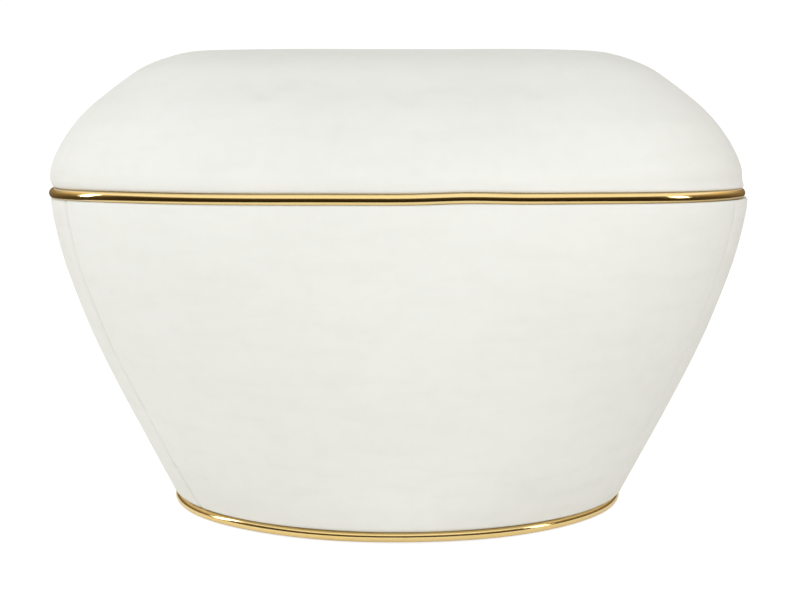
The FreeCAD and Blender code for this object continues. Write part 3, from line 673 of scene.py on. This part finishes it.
def make_floor():
    """Pale floor to look at, and a sheet just below it whose light the leather catches."""
    floor = stage_sheet("studio_floor", 0.0, (0.55, 0.55, 0.55), 0.84)
    floor.visible_diffuse = False
    floor.visible_glossy = False
    bounce = stage_sheet("bounce_sheet", -1 * MM, (0.80, 0.79, 0.77), 0.15)
    bounce.visible_camera = False


def make_painted_reflection_glow(top):
    """Painted reflection: unlit brown that glows brighter up to the top of the walls and towards
    the back, standing in for a room that the brass mirrors.
    """
    material = bpy.data.materials.new("reflection_skirt")
    material.use_nodes = True
    surface = material.node_tree.nodes["Principled BSDF"]
    surface.inputs["Base Color"].default_value = (0.0, 0.0, 0.0, 1)
    surface.inputs["Specular IOR Level"].default_value = 0.0
    glow = material.node_tree.nodes.new("ShaderNodeValToRGB")
    place = material.node_tree.nodes.new("ShaderNodeTexCoord")
    split = material.node_tree.nodes.new("ShaderNodeSeparateXYZ")
    scale = material.node_tree.nodes.new("ShaderNodeMapRange")
    scale.inputs["From Max"].default_value = top
    stops = [(0.0, (0.030, 0.021, 0.010)), (0.35, (0.055, 0.040, 0.021)),
             (1.0, (0.22, 0.175, 0.11))]
    glow.color_ramp.elements.new(0.5)
    for element, (position, colour) in zip(glow.color_ramp.elements, stops):
        element.position = position
        element.color = (*colour, 1)
    behind = material.node_tree.nodes.new("ShaderNodeMapRange")
    behind.inputs["From Min"].default_value = -1.0
    behind.inputs["From Max"].default_value = 2.5
    behind.inputs["To Min"].default_value = 1.0
    behind.inputs["To Max"].default_value = 5.0
    links = material.node_tree.links
    links.new(place.outputs["Object"], split.inputs["Vector"])
    links.new(split.outputs["Y"], behind.inputs["Value"])
    links.new(behind.outputs["Result"], surface.inputs["Emission Strength"])
    links.new(split.outputs["Z"], scale.inputs["Value"])
    links.new(scale.outputs["Result"], glow.inputs["Fac"])
    links.new(glow.outputs["Color"], surface.inputs["Emission Color"])
    return material


def make_reflection_skirt():
    """Painted reflection: a dark brown glowing skirt seen only in reflections, standing in for a
    floor a step away and walls beyond.
    """
    inner, outer, lift, top = 0.66, 3.4, 0.002, 2.3
    profile = [(inner, lift), (1.0, lift), (outer, lift), (outer, 1.2), (outer, top)]
    columns = 48
    points = [(run * math.cos(math.tau * c / columns), run * math.sin(math.tau * c / columns),
               height) for run, height in profile for c in range(columns)]
    skirt = new_object("reflection_skirt", points, grid_faces(len(profile), columns, wrap=True))
    skirt.data.materials.append(make_painted_reflection_glow(top))
    # Only glossy rays see this glowing skirt: it paints a dark room into the brass reflections.
    skirt.visible_camera = False
    skirt.visible_diffuse = False
    skirt.visible_shadow = False
    skirt.visible_transmission = False


def make_world():
    """White to the camera, bright and warm in reflections, and a soft pale room otherwise."""
    world = bpy.data.worlds.new("studio")
    bpy.context.scene.world = world
    world.use_nodes = True
    tree = world.node_tree
    tree.nodes.clear()
    room = tree.nodes.new("ShaderNodeBackground")
    mirrored = tree.nodes.new("ShaderNodeBackground")
    white = tree.nodes.new("ShaderNodeBackground")
    path = tree.nodes.new("ShaderNodeLightPath")
    reflect = tree.nodes.new("ShaderNodeMixShader")
    choose = tree.nodes.new("ShaderNodeMixShader")
    output = tree.nodes.new("ShaderNodeOutputWorld")
    room.inputs["Color"].default_value = (1.0, 0.994, 0.98, 1)
    room.inputs["Strength"].default_value = 0.45
    mirrored.inputs["Color"].default_value = (1.0, 0.98, 0.94, 1)
    mirrored.inputs["Strength"].default_value = 1.05
    white.inputs["Color"].default_value = (1, 1, 1, 1)
    white.inputs["Strength"].default_value = 1.05
    links = tree.links
    links.new(path.outputs["Is Glossy Ray"], reflect.inputs["Fac"])
    links.new(room.outputs["Background"], reflect.inputs[1])
    links.new(mirrored.outputs["Background"], reflect.inputs[2])
    links.new(path.outputs["Is Camera Ray"], choose.inputs["Fac"])
    links.new(reflect.outputs["Shader"], choose.inputs[1])
    links.new(white.outputs["Background"], choose.inputs[2])
    links.new(choose.outputs["Shader"], output.inputs["Surface"])


def area_light(name, azimuth, height, distance, size, power, colour=(1, 1, 1), mirrored=True):
    """Soft panel round from the front by an azimuth; the brass may mirror it or not."""
    light = bpy.data.lights.new(name, "AREA")
    light.shape = "RECTANGLE"
    light.size, light.size_y = size
    light.energy = power
    light.color = colour
    obj = bpy.data.objects.new(name, light)
    bpy.context.scene.collection.objects.link(obj)
    turn = math.radians(azimuth)
    obj.location = (distance * math.sin(turn), -distance * math.cos(turn), height)
    toward = Vector((0, 0, 0.25)) - obj.location
    obj.rotation_euler = toward.to_track_quat("-Z", "Y").to_euler()
    obj.visible_glossy = mirrored


def make_lights():
    area_light("front_panel", -6, 1.8, 2.6, (2.6, 1.2), 38.5, mirrored=False)
    area_light("back_panel", 172, 0.9, 2.8, (2.6, 1.0), 12, mirrored=False)
    area_light("left_panel", -97, 0.85, 2.2, (0.3, 1.1), 11)
    area_light("right_panel", 74, 0.85, 2.5, (0.4, 1.1), 8, (1, 0.955, 0.90))


def make_camera():
    """Just above the upper ring, looking slightly down, and a little to the pouf's left."""
    azimuth = math.radians(-0.7)
    distance, height, pitch = 1.910, 0.405, 0.0983
    data = bpy.data.cameras.new("camera")
    data.sensor_width = 36.0
    data.lens = 80.4
    camera = bpy.data.objects.new("camera", data)
    bpy.context.scene.collection.objects.link(camera)
    camera.location = (distance * math.sin(azimuth), -distance * math.cos(azimuth), height)
    camera.rotation_euler = (math.pi / 2 - pitch, 0, azimuth)
    bpy.context.scene.camera = camera


# ---------------------------------------------------------------- assembly
def paint_cad_nodes():
    """Give every carried node the procedural material of its slot."""
    for sub in frame["record"]["subparts"]:
        obj = nodes[sub["node"]]
        obj.data.materials.clear()
        obj.data.materials.append(MATERIALS[sub["material_slot"]])


def main():
    bpy.context.scene.view_settings.view_transform = "Standard"
    paint_cad_nodes()
    make_covers()
    make_side_foam()
    make_seat_filling()
    make_seat_cover()
    make_rings()
    make_floor()
    make_reflection_skirt()
    make_world()
    make_lights()
    make_camera()


main()
